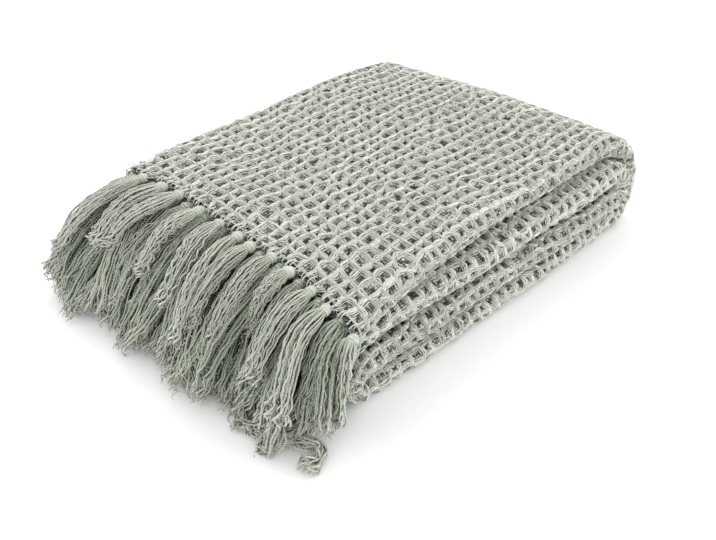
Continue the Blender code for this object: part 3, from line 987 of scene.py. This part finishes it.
def tassel_strands(follow, size, strands, steps, looseness, draws):
    """One tassel's strands and their core: lines, upward directions, and each point's place and painted
    shade.
    """
    share = 1.0 - (1.0 - np.linspace(0.0, 1.0, steps)) ** TIP_CROWDING
    number = np.arange(strands) + 0.5
    radius = np.sqrt(INNER_STRAND**2 + (1.0 - INNER_STRAND**2) * number / strands)[:, None]
    turn = number * GOLDEN_TURN + draws.uniform(0.0, FULL_TURN)
    longest = draws.uniform(*STRAND_LENGTHS, strands)
    longest[: strands // LONG_STRANDS_IN] += LONG_STRAND
    at = STRAND_START + share * (longest[:, None] - STRAND_START)
    line = follow(at.reshape(-1)).reshape(strands, steps, 3)
    wide = unit(np.cross(unit(np.gradient(line, axis=1)), UPWARD) + SIDEWAYS)
    thick = unit(np.cross(wide, unit(np.gradient(line, axis=1))))
    width, depth = (np.interp(at, TASSEL_ALONG, sizes) / 2 * size for sizes in (TASSEL_WIDTH, TASSEL_THICK))
    turn = turn[:, None] + draws.uniform(-TASSEL_TWIST, TASSEL_TWIST) * at
    turn = turn + draws.normal(0.0, STRAND_TWIST, (strands, 1)) * at
    spread = radius * (1.0 + STRAND_SPREAD * draws.normal(size=(strands, 1)) * at)
    loose = looseness * setting_in(at, *LOOSE_SPAN)
    frayed = setting_in(at, *FRAYED_SPAN)

    locks = draws.integers(*LOCK_COUNTS)
    lock = (np.floor(turn[:, :1] / FULL_TURN * locks) % locks).astype(int)
    lock_aside = looseness * draws.normal(0.0, LOCK_ASIDE, locks)[lock]
    lock_lift = looseness * draws.normal(0.0, LOCK_LIFT, locks)[lock]
    lock_hook = looseness * draws.normal(0.0, LOCK_HOOK, locks)[lock] * setting_in(at, *LOCK_HOOK_SPAN)
    lock_turn = at * draws.uniform(*LOCK_TURNS, locks)[lock]
    lock_turn = lock_turn + draws.uniform(0.0, FULL_TURN, locks)[lock]
    lock_wave = loose * (LOCK_WAVE_GROWTH[0] + LOCK_WAVE_GROWTH[1] * frayed)
    bend = draws.normal(0.0, BEND)
    bend_turns = draws.uniform(*BEND_TURNS)
    bend = bend * np.sin(at * bend_turns + draws.uniform(0.0, ANY_START)) * loose
    bend = bend + looseness * draws.normal(0.0, SWING) * setting_in(at, *SWING_SPAN)
    aside = lock_hook + lock_aside * frayed + LOCK_WAVE[0] * np.sin(lock_turn) * lock_wave + bend
    lift = lock_lift * frayed + LOCK_WAVE[1] * np.cos(lock_turn) * lock_wave
    aside += wave(at, draws, strands, RIPPLE_TURNS) * loose * (RIPPLE + RIPPLE_GROWTH[0] * frayed)
    lift += wave(at, draws, strands, RIPPLE_TURNS) * loose * (RIPPLE + RIPPLE_GROWTH[1] * frayed)
    crimp = draws.uniform(*CRIMPS, (strands, 1)) * setting_in(at, *CRIMP_SPAN)
    aside += crimp * wave(at, draws, strands, CRIMP_TURNS)
    lift += crimp * wave(at, draws, strands, CRIMP_TURNS)
    curl = draws.uniform(*CURLS, (strands, 1)) * setting_in(at, *CURL_SPAN)
    curl_turn = at * draws.uniform(*CURL_TURNS, (strands, 1)) + draws.uniform(0.0, ANY_START, (strands, 1))
    aside += curl * np.sin(curl_turn)
    lift += curl * np.cos(curl_turn)
    astray = (draws.random((strands, 1)) < ASTRAY_SHARE) * np.sin(at * ASTRAY_TURN) * loose
    aside += draws.normal(0.0, ASTRAY_ASIDE, (strands, 1)) * astray
    lift += ASTRAY_LIFT * astray

    core = (line[:1] + bend[:1, :, None] * wide[:1], thick[:1], depth[:1] * (1.0 - CORE_TAPER * at[:1]))
    line = line + (width * spread * np.cos(turn) + aside)[..., None] * wide
    line = line + (depth * spread * np.sin(turn) + lift)[..., None] * thick
    line[..., 2] = np.maximum(line[..., 2], STRAND_RADIUS)
    # Painted shade on each strand: a little everywhere, more inside the tassel and on its underside.
    strand_shade = STRAND_SHADE + INNER_SHADE * (1.0 - radius) + UNDERSIDE_SHADE * (1.0 - np.sin(turn))
    return line, thick, at, strand_shade, core


def strand_meshes(follow, size, strands, steps, radius, looseness, bundle_shade, draws):
    """A bundle's strands and the core inside them. The argument after the looseness is how much more painted
    shade the bundle gets than the top row.
    """
    line, up, at, strand_shade, core = tassel_strands(follow, size, strands, steps, looseness, draws)
    radii = radius * (1.0 + TIP_SWELL * setting_in(at, *TIP_SWELL_SPAN))
    radii = radii * draws.uniform(*STRAND_GIRTHS, (strands, 1))
    # The row's painted shade, less at the tips, and painted light on the tips.
    strand_shade = strand_shade + bundle_shade * (1.0 - TIP_LIGHT * setting_in(at, *TIP_LIGHT_SPAN))
    strand_shade = np.clip(strand_shade - TIP_LIGHTEN * setting_in(at, *TIP_LIGHTEN_SPAN), 0.0, 1.0)
    core_line, core_up, core_radii = (values[:, : int(CORE_LENGTH * steps) : 2] for values in core)
    core_radii = CORE_SHARE * core_radii
    core_line[..., 2] = np.maximum(core_line[..., 2], core_radii)
    points, faces, place = yarn_tubes(core_line, core_up, core_radii, CORE_SIDES)
    # The core is coloured in painted shade.
    depth = np.full(len(points), min(1.0, CORE_SHADE + bundle_shade))
    return [
        dyed_yarns(line, up, radii, strand_shade, draws.normal(size=strands)),
        (points, faces, np.zeros_like(place), depth, np.zeros(len(points))),
    ]


def fringe_strands(knots, seed):
    """All the tassels' strands of one fringe as one mesh."""
    draws = np.random.default_rng(seed)
    parts = []
    for knot in knots:
        row = knot["row"]
        strands, steps, radius = STRANDS_BY_ROW[row]
        guides = knot["guides"] = tassel_guides(knot, draws)
        cut = knot["cut"] = 1.0 if row == TOP_ROW else 1.0 + ripple(knot, *CUT_SWAY)
        size = draws.uniform(*TASSEL_SIZES) * (1.0 if row == TOP_ROW else UNDER_SIZE)
        # Painted shade for the lower rows, more at the back of a row, more towards the front of every row,
        # and painted light towards the back of every row.
        at_back = setting_in(knot["number"], *BACK_NUMBERS)
        bundle_shade = shade_of(row) * (1.0 + BACK_SHADE * at_back)
        bundle_shade = bundle_shade + FRONT_DIM * (1.0 - at_back) - BACK_LIGHTEN * at_back
        looseness = TOP_LOOSENESS if row == TOP_ROW else UNDER_LOOSENESS

        def follow(share):
            return curve_through(guides, share * cut)

        parts += strand_meshes(follow, size, strands, steps, radius, looseness, bundle_shade, draws)
    return joined(parts)


def frayed_ends(knots, seed):
    """The short curled threads at the tassels' tips."""
    draws = np.random.default_rng(seed)
    share = np.linspace(0.0, 1.0, FRAY_POINTS)[None, :, None]
    parts = []
    for knot in knots:
        at_front = knot["number"] < FRONT_NUMBERS and knot["row"] >= UPPER_ROWS
        count = FRONT_FRAYS if at_front else FRAYS_PER_TASSEL
        each = (count, 1, 1)
        guides = knot["guides"]
        root = curve_through(guides, draws.uniform(*FRAY_STARTS, count) * knot["cut"])
        root = root + draws.normal(0.0, FRAY_SCATTER, (count, 3))
        heading = unit(unit(guides[3] - guides[2]) + draws.normal(0.0, FRAY_SPREAD, (count, 3)))
        aside = unit(np.cross(heading, draws.normal(size=(count, 3))))
        other = np.cross(heading, aside)
        length = draws.uniform(*FRAY_LENGTHS, each)
        curl = draws.uniform(*FRAY_CURLS, each) * np.sin(math.pi * between(*FRAY_ARC, share))
        turn = share * draws.uniform(*FRAY_TURNS, each) + draws.uniform(0.0, ANY_START, each)
        line = root[:, None] + heading[:, None] * length * share
        line = line + aside[:, None] * curl * np.sin(turn) + other[:, None] * curl * np.cos(turn)
        line[..., 2] -= FRAY_SAG * (share * share)[..., 0] * draws.random((count, 1))
        line[..., 2] = np.maximum(line[..., 2], FRAY_RADIUS)
        # Painted shade, a share of the row's.
        depth = FRAY_BASE_SHADE + FRAY_SHADE * shade_of(knot["row"])
        radii = np.full(line.shape[:2], FRAY_RADIUS)
        parts.append(dyed_yarns(line, UPWARD, radii, depth, draws.normal(size=count)))
    return joined(parts)


def loose_locks(seed):
    """The locks that lie loose on the floor at the front corner."""
    draws = np.random.default_rng(seed)
    parts = []
    for size, *places in LOOSE_LOCKS:

        def follow(share):
            return path_through(places, share)

        steps = LOCK_POINTS * len(places)
        looks = (STRAND_RADIUS, LOCK_LOOSENESS, LOCK_SHADE)
        parts += strand_meshes(follow, size, LOCK_STRANDS, steps, *looks, draws)
    return joined(parts)


def knot_ball(knot, draws):
    """One knot: the tassel's wrapped head."""
    around, along = FINE_BALL if knot["row"] >= TOP_ROW - 1 else PLAIN_BALL
    centre, aim = curve_through(knot["guides"], np.array([KNOT_PLACE, KNOT_AIM]))
    ahead = unit(aim - knot["root"])
    wide = unit(np.cross(ahead, UPWARD) + KNOT_TURNED)
    up = np.cross(wide, ahead)
    size = draws.uniform(*KNOT_SIZES)
    lean = draws.uniform(-KNOT_LEAN, KNOT_LEAN) * wide
    turn = draws.uniform(0.0, FULL_TURN)
    polar = np.linspace(KNOT_POLE, math.pi - KNOT_POLE, along)
    p, a = np.meshgrid(polar, FULL_TURN * np.arange(around) / around, indexing="ij")
    waves = (high * np.cos(down * p + side * a + start * turn) for high, down, side, start in KNOT_WRAPS)
    wraps = 1.0 + sum(waves)
    points = centre + np.cos(p)[..., None] * (lean - KNOT_LENGTH * size * ahead)
    out = np.cos(a)[..., None] * wide + np.sin(a)[..., None] * up
    points = points + (KNOT_GIRTH * size * wraps * np.sin(p) ** KNOT_BULGE)[..., None] * out
    tip = KNOT_TIP * size * ahead - lean
    points = np.concatenate([[centre - tip], points.reshape(-1, 3), [centre + tip]])
    points[:, 2] = np.maximum(points[:, 2], KNOT_FLOOR)
    place = np.pad(np.stack([np.cos(a), np.sin(a), p * KNOT_LAY], axis=-1).reshape(-1, 3), ((1, 1), (0, 0)))
    # Painted shade all over the knot, more in lower rows, in the grooves between its wraps and at its neck.
    painted_shade = KNOT_SHADE + shade_of(knot["row"]) + WRAP_GROOVE_SHADE * np.clip(1.0 - wraps, 0.0, 1.0)
    painted_shade = painted_shade + NECK_SHADE * setting_in(p, *NECK_SPAN)
    depth = np.pad(painted_shade.ravel(), 1, constant_values=KNOT_TIP_SHADE)
    return points, tube_faces(along, around), place, depth, np.full(len(points), draws.normal() * KNOT_TINT)


def knot_gathers(knot, draws):
    """The warp ends that run from the cloth's edge into one knot."""
    each = (GATHER_ENDS, 1)
    spread = np.linspace(-1.0, 1.0, GATHER_ENDS) + draws.normal(0.0, GATHER_SPREAD, GATHER_ENDS)
    inset = np.array((GATHER_INSET, 0.0, 0.0))
    start = knot["root"] + inset + spread[:, None] * np.array((0.0, GATHER_WIDTH, 0.0))
    start = start + draws.normal(0.0, GATHER_RISE, (GATHER_ENDS, 3)) + GATHER_RISE * UPWARD
    centre = curve_through(knot["guides"], np.array([KNOT_PLACE]))[0]
    share = np.linspace(0.0, 1.0, GATHER_POINTS)[None, :, None]
    line = start[:, None, :] * (1.0 - share) + centre * share
    bend = np.sin(math.pi * share)[..., 0]
    line[..., 2] += bend * draws.uniform(*GATHER_LIFTS, each)
    line[..., 1] += bend * draws.normal(0.0, GATHER_BEND, each)
    line[..., 2] = np.maximum(line[..., 2], YARN_RADIUS)
    radii = np.full(line.shape[:2], GATHER_RADIUS)
    # A light painted shade on the gathered ends.
    return dyed_yarns(line, UPWARD, radii, GATHER_SHADE, draws.normal(size=GATHER_ENDS))


def edge_coils(edge, seed):
    """The loose header yarns that coil along the cloth's cut edge, closest along the top sheet."""
    draws = np.random.default_rng(seed)
    parts = []
    for first, last, pitch in COIL_RUNS:
        steps = int((last - first) / pitch * COIL_STEPS)
        turn = np.cumsum(draws.uniform(*COIL_PACES, steps)) * FULL_TURN / COIL_STEPS
        size = COIL_SIZE + COIL_GROWTH * np.sin(turn * COIL_GROWTH_TURN + draws.uniform(0.0, ANY_START))
        size = size + COIL_JITTER * draws.normal(size=steps)
        sway = COIL_SWAY * np.sin(turn * COIL_SWAY_TURN + draws.uniform(0.0, ANY_START))
        slant = COIL_SLANT * np.sin(turn + COIL_SLANT_START)
        t = np.clip(np.linspace(first, last, steps) + sway + slant, 0.0, CELLS_ACROSS)
        line = folded(np.full_like(t, edge), t, COIL_RISE + COIL_TALL * size * np.sin(turn))
        line[:, 0] -= COIL_OUT + COIL_WIDE * size * np.cos(turn)
        line[:, 2] = np.maximum(line[:, 2], YARN_RADIUS)
        # Painted shade, most on the coil's lower half.
        depth = COIL_BASE_SHADE + COIL_SHADE * setting_in(-size * np.sin(turn), *COIL_SHADE_SPAN)
        radii = np.full((1, steps), YARN_RADIUS * COIL_GIRTH)
        parts.append(dyed_yarns(line[None], UPWARD, radii, depth, [COIL_TINT]))
    return joined(parts)


# ---- materials


def add_node(tree, kind, inputs=None, **settings):
    """A shader node with its settings, and its inputs set to values or linked to other nodes' outputs."""
    node = tree.nodes.new(kind)
    for name, value in settings.items():
        setattr(node, name, value)
    for name, value in (inputs or {}).items():
        if isinstance(value, bpy.types.NodeSocket):
            tree.links.new(value, node.inputs[name])
        else:
            node.inputs[name].default_value = value
    return node


def maths(tree, operation, *values):
    return add_node(tree, "ShaderNodeMath", dict(enumerate(values)), operation=operation).outputs[0]


def noise(tree, place, scale, detail):
    values = {"Vector": place, "Scale": scale, "Detail": detail}
    return add_node(tree, "ShaderNodeTexNoise", values).outputs["Fac"]


def new_group(name, inputs, outputs):
    """A shader node group with its named inputs and outputs."""
    group = bpy.data.node_groups.new(name, "ShaderNodeTree")
    for side, sockets in (("INPUT", inputs), ("OUTPUT", outputs)):
        for socket, kind in sockets.items():
            group.interface.new_socket(name=socket, in_out=side, socket_type="NodeSocket" + kind)
    return group, add_node(group, "NodeGroupInput").outputs


def finish_group(group, **made):
    add_node(group, "NodeGroupOutput", made)
    return group


def yarn_ply_group():
    """The two plies of a yarn, wound round it: from -1 between them to 1 on them."""
    group, given = new_group("yarn_ply", {"Yarn": "Vector"}, {"Grain": "Float"})
    split = add_node(group, "ShaderNodeSeparateXYZ", {"Vector": given["Yarn"]}).outputs
    turn = maths(group, "MULTIPLY", maths(group, "ARCTAN2", split["Y"], split["X"]), PLIES)
    lay = maths(group, "MULTIPLY", split["Z"], FULL_TURN / PLY_LAY)
    return finish_group(group, Grain=maths(group, "SINE", maths(group, "ADD", turn, lay)))


def plain_weave_group():
    """The close plain weave in the pits: bumps where the yarns cross, each a little different."""
    group, given = new_group("plain_weave", {"Yarn": "Vector"}, {"Grain": "Float"})
    split = add_node(group, "ShaderNodeSeparateXYZ", {"Vector": given["Yarn"]}).outputs

    def height(axis):
        return maths(group, "ABSOLUTE", maths(group, "SINE", maths(group, "MULTIPLY", split[axis], math.pi)))

    bumps = maths(group, "MULTIPLY", height("X"), height("Y"))
    bumps = maths(group, "MULTIPLY_ADD", bumps, CROSSING_BUMP, -CROSSING_BUMP / 2)
    crossing = add_node(group, "ShaderNodeVectorMath", {0: given["Yarn"]}, operation="FLOOR").outputs[0]
    chance = add_node(group, "ShaderNodeTexWhiteNoise", {"Vector": crossing}, noise_dimensions="2D")
    chance = maths(group, "MULTIPLY_ADD", chance.outputs["Value"], CROSSING_CHANCE, -CROSSING_CHANCE / 2)
    return finish_group(group, Grain=maths(group, "ADD", bumps, chance))


def cotton_group():
    """Cotton's colour, roughness and relief, from its painted shade, its tint and its grain."""
    numbers = ("Depth", "Tint", "Tint Strength", "Grain", "Grain Strength", "Fibre Strength")
    group, given = new_group(
        "cotton",
        {"Crest": "Color", "Shade Colour": "Color", **dict.fromkeys(numbers, "Float")},
        {"Colour": "Color", "Roughness": "Float", "Relief": "Float"},
    )
    place = add_node(group, "ShaderNodeTexCoord").outputs["Object"]
    fibre = noise(group, place, FIBRE_SCALE, 2.0)
    batch = noise(group, place, BATCH_SCALE, 3.0)
    # The high places of the grain stay light, taking less of the painted shade.
    shaded = maths(group, "MULTIPLY_ADD", given["Grain"], -GRAIN_LIGHT, 1.0)
    shaded = maths(group, "MULTIPLY", given["Depth"], shaded)
    shaded = maths(group, "MINIMUM", maths(group, "MAXIMUM", shaded, 0.0), 1.0)
    # A Mix node's sockets for numbers and vectors have the same names, so its colours go by number.
    base = add_node(group, "ShaderNodeMix", data_type="RGBA")
    for socket, value in ((0, shaded), (6, given["Crest"]), (7, given["Shade Colour"])):
        group.links.new(value, base.inputs[socket])
    light = maths(group, "MULTIPLY_ADD", given["Tint"], given["Tint Strength"], 1.0)
    light = maths(group, "MULTIPLY_ADD", given["Grain"], given["Grain Strength"], light)
    uneven = maths(group, "SUBTRACT", fibre, 0.5)
    light = maths(group, "MULTIPLY_ADD", uneven, given["Fibre Strength"], light)
    batch = maths(group, "MULTIPLY_ADD", batch, BATCH_STRENGTH, -BATCH_STRENGTH / 2)
    light = maths(group, "ADD", light, batch)
    light = maths(group, "MAXIMUM", light, LEAST_LIGHT)
    colour = add_node(group, "ShaderNodeVectorMath", {0: base.outputs[2], "Scale": light}, operation="SCALE")
    return finish_group(
        group,
        Colour=colour.outputs[0],
        Roughness=maths(group, "MULTIPLY_ADD", fibre, ROUGHNESS_SPREAD, ROUGHNESS),
        Relief=maths(group, "MULTIPLY_ADD", given["Grain"], GRAIN_RELIEF, fibre),
    )


def new_material(name, values):
    """A material and its shader, with these values on the shader's own sockets."""
    material = bpy.data.materials.new(name)
    material.use_nodes = True
    shader = material.node_tree.nodes["Principled BSDF"]
    for socket, value in values.items():
        shader.inputs[socket].default_value = value
    return material, shader


def cotton_material(name, groups, grain, crest, painted_shade, tint_strength, grain_strength, fibre_strength, bump):
    """A finish of cotton with its own colours, grain and relief."""
    material, shader = new_material(name, COTTON_SHEEN)
    tree = material.node_tree
    kind = "ShaderNodeAttribute"
    values = ("depth", "tint", "yarn")
    depth, tint, yarn = (add_node(tree, kind, attribute_name=value).outputs for value in values)
    grained = add_node(tree, "ShaderNodeGroup", node_tree=groups[grain])
    tree.links.new(yarn["Vector"], grained.inputs["Yarn"])
    cotton = add_node(tree, "ShaderNodeGroup", node_tree=groups["cotton"])
    for socket, value in (
        ("Crest", (*crest, 1.0)),
        ("Shade Colour", (*painted_shade, 1.0)),
        ("Tint Strength", tint_strength),
        ("Grain Strength", grain_strength),
        ("Fibre Strength", fibre_strength),
    ):
        cotton.inputs[socket].default_value = value
    # The depth attribute drives the painted shade.
    made = {"Depth": depth["Fac"], "Tint": tint["Fac"], "Grain": grained.outputs["Grain"]}
    for socket, value in made.items():
        tree.links.new(value, cotton.inputs[socket])
    height = cotton.outputs["Relief"]
    relief = add_node(tree, "ShaderNodeBump", {"Height": height, "Strength": bump, "Distance": BUMP_HEIGHT})
    tree.links.new(cotton.outputs["Colour"], shader.inputs["Base Color"])
    tree.links.new(cotton.outputs["Roughness"], shader.inputs["Roughness"])
    tree.links.new(relief.outputs["Normal"], shader.inputs["Normal"])
    return material


# ---- the pieces

groups = {"cotton": cotton_group(), "yarn_ply": yarn_ply_group(), "plain_weave": plain_weave_group()}
cottons = {name: cotton_material(name, groups, *finish) for name, finish in FINISHES.items()}

points, faces, places = waffle_sheet()
crossings = np.column_stack([places[:, :2], np.zeros(len(places))]) * YARNS_PER_CELL
# Painted shade in the pits, and more of it near the cloth's cut ends.
edge_distance = np.minimum(places[:, 0], CELLS_ALONG - places[:, 0])
depth = np.maximum(places[:, 3], EDGE_SHADE * np.clip(1.0 - edge_distance / EDGE_SHADE_CELLS, 0.0, 1.0))
sheet = (points, faces, crossings, depth, np.zeros(len(points)))
blanket = add_piece("waffle_cloth", cottons["waffle_cotton"], "blanket", *sheet)
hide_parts("blanket")

shown = GRADES == SHOWN
s_cell, t_cell = np.ogrid[:CELLS_ALONG, :CELLS_ACROSS]
on_top_sheet = (t_cell >= FRONT_FOLD - 0.5) & (t_cell < TOP_SHEET)
near_fringe = s_cell < TOP_SHEET_CELLS
for name, cells, ranks, most_points, seed in (
    ("floats_top", shown & on_top_sheet & near_fringe, 4, 6, 5),
    ("floats_end", shown & on_top_sheet & ~near_fringe, 3, 5, 6),
    ("floats_folds", shown & ~on_top_sheet, 4, 5, 7),
    ("floats_edges", GRADES == HALF_SHOWN, 2, 4, 8),
):
    floats = float_yarns(cells, ranks, most_points, seed)
    add_piece(name, cottons["float_cotton"], "blanket", *floats)

for end, edge, lowest_row in (("top", 0.0, SHEETS_PER_STRIP), ("lower", float(CELLS_ALONG), 0)):
    node = "fringe_" + end
    knots = knots_of(edge, lowest_row)
    strands = [fringe_strands(knots, 31), frayed_ends(knots, 63)]
    if end == "lower":
        strands.append(loose_locks(57))
    draws = np.random.default_rng(77)
    for name, finish, mesh in (
        ("tassels_", "tassel_cotton", joined(strands)),
        ("knots_", "knot_cotton", joined([knot_ball(knot, draws) for knot in knots])),
        ("gathers_", "tassel_cotton", joined([knot_gathers(knot, draws) for knot in knots])),
        ("header_", "float_cotton", edge_coils(edge, 19)),
    ):
        add_piece(name + end, cottons[finish], node, *mesh)
        if name == "tassels_":
            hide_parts(node)

# ---- floor, light and camera


def add_floor():
    bpy.ops.mesh.primitive_plane_add(size=30.0, location=(0.0, 0.0, -0.0002))
    floor = bpy.context.object
    floor.name = "floor"
    floor.data.materials.append(new_material("studio_floor", FLOOR_FINISH)[0])


def add_lamp(name, place, size, power):
    data = bpy.data.lights.new(name, "AREA")
    data.shape = "DISK"
    data.size = size
    data.energy = power
    lamp = bpy.data.objects.new(name, data)
    lamp.location = place
    lamp.rotation_euler = (Vector(LAMP_TARGET) - Vector(place)).to_track_quat("-Z", "Y").to_euler()
    bpy.context.scene.collection.objects.link(lamp)


def add_world():
    world = bpy.data.worlds.new("studio")
    world.use_nodes = True
    background = world.node_tree.nodes["Background"]
    background.inputs["Color"].default_value = (1.0, 1.0, 1.0, 1.0)
    background.inputs["Strength"].default_value = WORLD_LIGHT
    bpy.context.scene.world = world


def add_camera():
    data = bpy.data.cameras.new("camera")
    data.sensor_width = 36.0
    data.lens = CAMERA_LENS
    data.clip_start = 0.01
    data.clip_end = 100.0
    camera = bpy.data.objects.new("camera", data)
    camera.location = Vector(CAMERA_PLACE) + Vector(ROUTE_TO_FRAME)
    camera.rotation_euler = Vector(CAMERA_AIM).to_track_quat("-Z", "Y").to_euler()
    bpy.context.scene.collection.objects.link(camera)
    bpy.context.scene.camera = camera


add_floor()
add_world()
for name, lamp in LAMPS.items():
    add_lamp(name, *lamp)
add_camera()
bpy.context.scene.view_settings.view_transform = "Standard"
